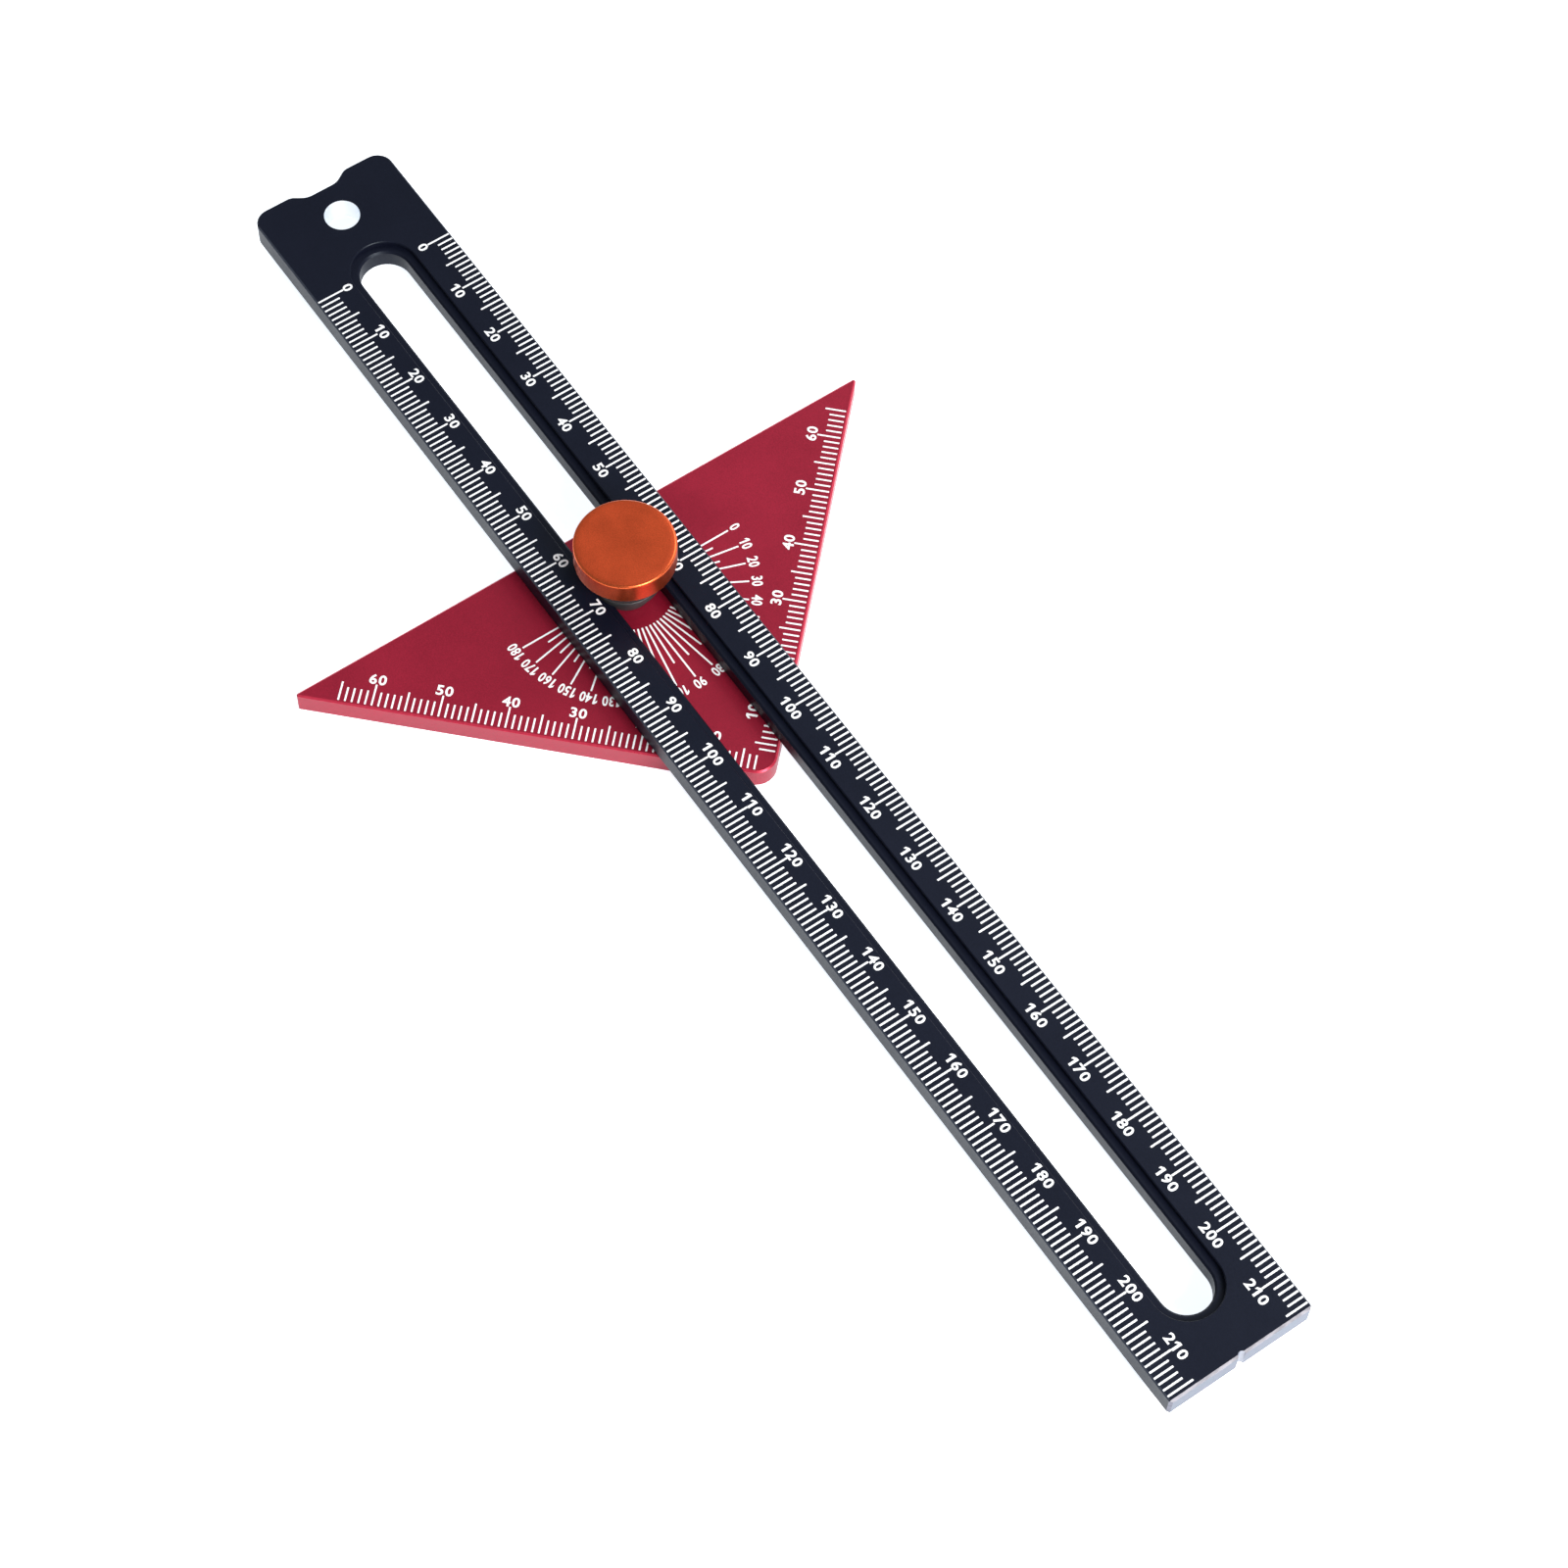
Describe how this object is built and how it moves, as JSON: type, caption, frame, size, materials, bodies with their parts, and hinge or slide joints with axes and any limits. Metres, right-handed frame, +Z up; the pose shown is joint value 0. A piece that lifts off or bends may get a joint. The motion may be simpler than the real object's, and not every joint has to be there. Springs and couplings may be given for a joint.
{
  "type": "set square",
  "caption": "Slotted metal rule with a 45 degree set-square plate that slides along the slot, swivels on a pivot and is clamped by a thumb knob.",
  "frame": {"origin": "under the middle of the rule, on the plate's underside", "axes": "+X along the rule towards its bare far end, +Y across the rule, +Z up out of the graduated face"},
  "size_m": [0.2358, 0.1004, 0.0166],
  "materials": {
    "blade_black": "black anodised, satin",
    "plate_red": "crimson anodised, satin",
    "screw_steel": "zinc plated",
    "bush_plastic": "matt moulded",
    "washer_steel": "brushed",
    "marking_white": "laser-marked graduations and numerals",
    "knob_orange": "orange anodised, fine blasted top"
  },
  "bodies": {
    "blade": {"blade": "blade_black"},
    "bush": {"guide_bush": "bush_plastic"},
    "plate": {"angle_plate": "plate_red", "clamp_screw": "screw_steel"},
    "washer": {"thrust_washer": "washer_steel"},
    "knob": {"clamp_knob": "knob_orange"}
  },
  "joints": [
    {"name": "plate_slide", "type": "slide", "parent": "blade", "child": "bush", "axis": [1, 0, 0], "range_m": [-0.067, 0.136]},
    {"name": "plate_swivel", "type": "hinge", "parent": "bush", "child": "plate", "pos_m": [-0.0306, 0, 0], "axis": [0, 0, 1], "continuous": true},
    {"name": "knob_rise", "type": "slide", "parent": "plate", "child": "washer", "axis": [0, 0, 1], "range_m": [0, 0.0014]},
    {"name": "knob_turn", "type": "hinge", "parent": "washer", "child": "knob", "pos_m": [-0.0306, 0, 0], "axis": [0, 0, 1], "range_deg": [0, 720]}
  ],
  "couplings": [
    {"joint": "knob_turn", "follows": "knob_rise", "rad_per_m": 8976}
  ]
}
